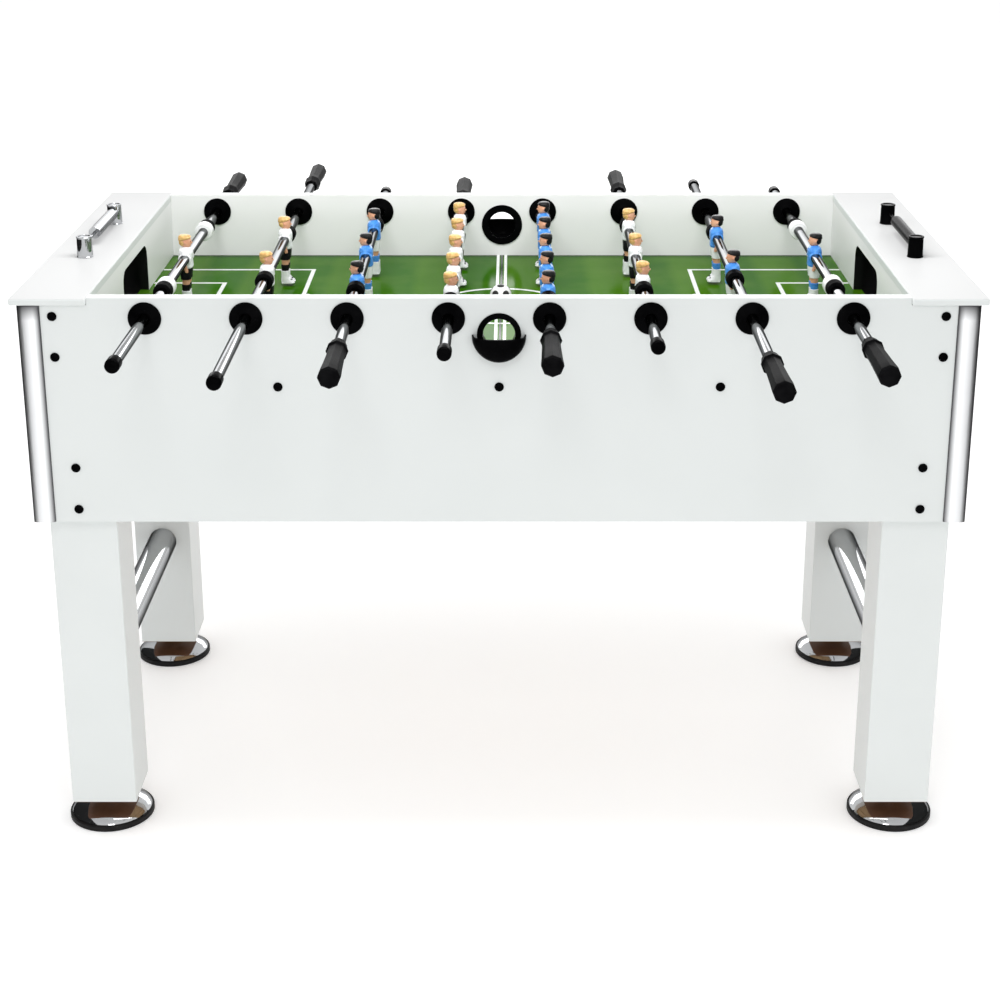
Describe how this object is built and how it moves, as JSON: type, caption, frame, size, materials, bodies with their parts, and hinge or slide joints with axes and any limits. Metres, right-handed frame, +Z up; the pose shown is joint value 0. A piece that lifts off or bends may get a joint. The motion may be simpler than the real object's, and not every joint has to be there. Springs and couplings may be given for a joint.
{
  "type": "foosball table",
  "caption": "Standing table football game: boxed playing field with rows of players on sliding, turning rods, goals, scorers and levelling feet.",
  "frame": {"origin": "on the floor, under the middle of the playing field", "axes": "+X from the left goal to the right goal, -Y towards the front player, +Z up"},
  "size_m": [1.4, 1.414, 0.903],
  "materials": {
    "white_laminate": "white satin laminate on board",
    "printed_turf": "glossy printed green playing surface on board",
    "chrome": "polished chrome on steel",
    "black_rubber": "satin moulded rubber",
    "black_plastic": "gloss black moulding",
    "white_plastic": "painted white-team player",
    "blue_plastic": "painted blue-team player",
    "ball_white": "white ball with black spots"
  },
  "bodies": {
    "root": {"front_side_panel": "white_laminate", "back_side_panel": "white_laminate", "left_goal_end": "white_laminate", "right_goal_end": "white_laminate", "playfield_board": "printed_turf", "left_top_rail": "white_laminate", "right_top_rail": "white_laminate", "front_left_leg": "white_laminate", "back_left_leg": "white_laminate", "front_right_leg": "white_laminate", "back_right_leg": "white_laminate", "left_brace_tube": "chrome", "right_brace_tube": "chrome", "left_scorer_frame": "chrome", "right_scorer_frame": "black_plastic"},
    "rod_1_slide": {"rod_1_tube": "chrome"},
    "rod_1_turn": {"rod_1_grip": "black_rubber", "rod_1_player_1": "white_plastic"},
    "rod_2_slide": {"rod_2_tube": "chrome"},
    "rod_2_turn": {"rod_2_grip": "black_rubber", "rod_2_player_1": "white_plastic", "rod_2_player_2": "white_plastic"},
    "rod_3_slide": {"rod_3_tube": "chrome"},
    "rod_3_turn": {"rod_3_grip": "black_rubber", "rod_3_player_1": "blue_plastic", "rod_3_player_2": "blue_plastic", "rod_3_player_3": "blue_plastic"},
    "rod_4_slide": {"rod_4_tube": "chrome"},
    "rod_4_turn": {"rod_4_grip": "black_rubber", "rod_4_player_1": "white_plastic", "rod_4_player_2": "white_plastic", "rod_4_player_3": "white_plastic", "rod_4_player_4": "white_plastic", "rod_4_player_5": "white_plastic"},
    "rod_5_slide": {"rod_5_tube": "chrome"},
    "rod_5_turn": {"rod_5_grip": "black_rubber", "rod_5_player_1": "blue_plastic", "rod_5_player_2": "blue_plastic", "rod_5_player_3": "blue_plastic", "rod_5_player_4": "blue_plastic", "rod_5_player_5": "blue_plastic"},
    "rod_6_slide": {"rod_6_tube": "chrome"},
    "rod_6_turn": {"rod_6_grip": "black_rubber", "rod_6_player_1": "white_plastic", "rod_6_player_2": "white_plastic", "rod_6_player_3": "white_plastic"},
    "rod_7_slide": {"rod_7_tube": "chrome"},
    "rod_7_turn": {"rod_7_grip": "black_rubber", "rod_7_player_1": "blue_plastic", "rod_7_player_2": "blue_plastic"},
    "rod_8_slide": {"rod_8_tube": "chrome"},
    "rod_8_turn": {"rod_8_grip": "black_rubber", "rod_8_player_1": "blue_plastic"},
    "left_score": {"left_scorer_beads": "chrome"},
    "right_score": {"right_scorer_beads": "black_plastic"},
    "front_left_leveller": {"front_left_foot": "chrome"},
    "back_left_leveller": {"back_left_foot": "chrome"},
    "front_right_leveller": {"front_right_foot": "chrome"},
    "back_right_leveller": {"back_right_foot": "chrome"},
    "loose_ball": {"ball": "ball_white"}
  },
  "joints": [
    {"name": "rod_1_push", "type": "slide", "parent": "root", "child": "rod_1_slide", "axis": [0, 1, 0], "range_m": [-0.109, 0.114]},
    {"name": "rod_1_spin", "type": "hinge", "parent": "rod_1_slide", "child": "rod_1_turn", "pos_m": [-0.5075, 0, 0.84], "axis": [0, 1, 0], "continuous": true},
    {"name": "rod_2_push", "type": "slide", "parent": "root", "child": "rod_2_slide", "axis": [0, 1, 0], "range_m": [-0.176, 0.158]},
    {"name": "rod_2_spin", "type": "hinge", "parent": "rod_2_slide", "child": "rod_2_turn", "pos_m": [-0.3625, 0, 0.84], "axis": [0, 1, 0], "continuous": true},
    {"name": "rod_3_push", "type": "slide", "parent": "root", "child": "rod_3_slide", "axis": [0, 1, 0], "range_m": [-0.115, 0.095]},
    {"name": "rod_3_spin", "type": "hinge", "parent": "rod_3_slide", "child": "rod_3_turn", "pos_m": [-0.2175, 0, 0.84], "axis": [0, 1, 0], "continuous": true},
    {"name": "rod_4_push", "type": "slide", "parent": "root", "child": "rod_4_slide", "axis": [0, 1, 0], "range_m": [-0.049, 0.049]},
    {"name": "rod_4_spin", "type": "hinge", "parent": "rod_4_slide", "child": "rod_4_turn", "pos_m": [-0.0725, 0, 0.84], "axis": [0, 1, 0], "continuous": true},
    {"name": "rod_5_push", "type": "slide", "parent": "root", "child": "rod_5_slide", "axis": [0, 1, 0], "range_m": [-0.057, 0.041]},
    {"name": "rod_5_spin", "type": "hinge", "parent": "rod_5_slide", "child": "rod_5_turn", "pos_m": [0.0725, 0, 0.84], "axis": [0, 1, 0], "continuous": true},
    {"name": "rod_6_push", "type": "slide", "parent": "root", "child": "rod_6_slide", "axis": [0, 1, 0], "range_m": [-0.114, 0.096]},
    {"name": "rod_6_spin", "type": "hinge", "parent": "rod_6_slide", "child": "rod_6_turn", "pos_m": [0.2175, 0, 0.84], "axis": [0, 1, 0], "continuous": true},
    {"name": "rod_7_push", "type": "slide", "parent": "root", "child": "rod_7_slide", "axis": [0, 1, 0], "range_m": [-0.186, 0.148]},
    {"name": "rod_7_spin", "type": "hinge", "parent": "rod_7_slide", "child": "rod_7_turn", "pos_m": [0.3625, 0, 0.84], "axis": [0, 1, 0], "continuous": true},
    {"name": "rod_8_push", "type": "slide", "parent": "root", "child": "rod_8_slide", "axis": [0, 1, 0], "range_m": [-0.124, 0.104]},
    {"name": "rod_8_spin", "type": "hinge", "parent": "rod_8_slide", "child": "rod_8_turn", "pos_m": [0.5075, 0, 0.84], "axis": [0, 1, 0], "continuous": true},
    {"name": "left_beads_slide", "type": "slide", "parent": "root", "child": "left_score", "axis": [0, 1, 0], "range_m": [-0.061, 0]},
    {"name": "right_beads_slide", "type": "slide", "parent": "root", "child": "right_score", "axis": [0, 1, 0], "range_m": [0, 0.061]},
    {"name": "front_left_foot_turn", "type": "hinge", "parent": "root", "child": "front_left_leveller", "pos_m": [-0.6217, -0.2897, 0.045], "axis": [0, 0, 1], "range_deg": [-180, 180]},
    {"name": "back_left_foot_turn", "type": "hinge", "parent": "root", "child": "back_left_leveller", "pos_m": [-0.6217, 0.2897, 0.045], "axis": [0, 0, 1], "range_deg": [-180, 180]},
    {"name": "front_right_foot_turn", "type": "hinge", "parent": "root", "child": "front_right_leveller", "pos_m": [0.6217, -0.2897, 0.045], "axis": [0, 0, 1], "range_deg": [-180, 180]},
    {"name": "back_right_foot_turn", "type": "hinge", "parent": "root", "child": "back_right_leveller", "pos_m": [0.6217, 0.2897, 0.045], "axis": [0, 0, 1], "range_deg": [-180, 180]},
    {"name": "ball_lift", "type": "slide", "parent": "root", "child": "loose_ball", "axis": [0, 0, 1], "range_m": [0, 0.25]}
  ]
}
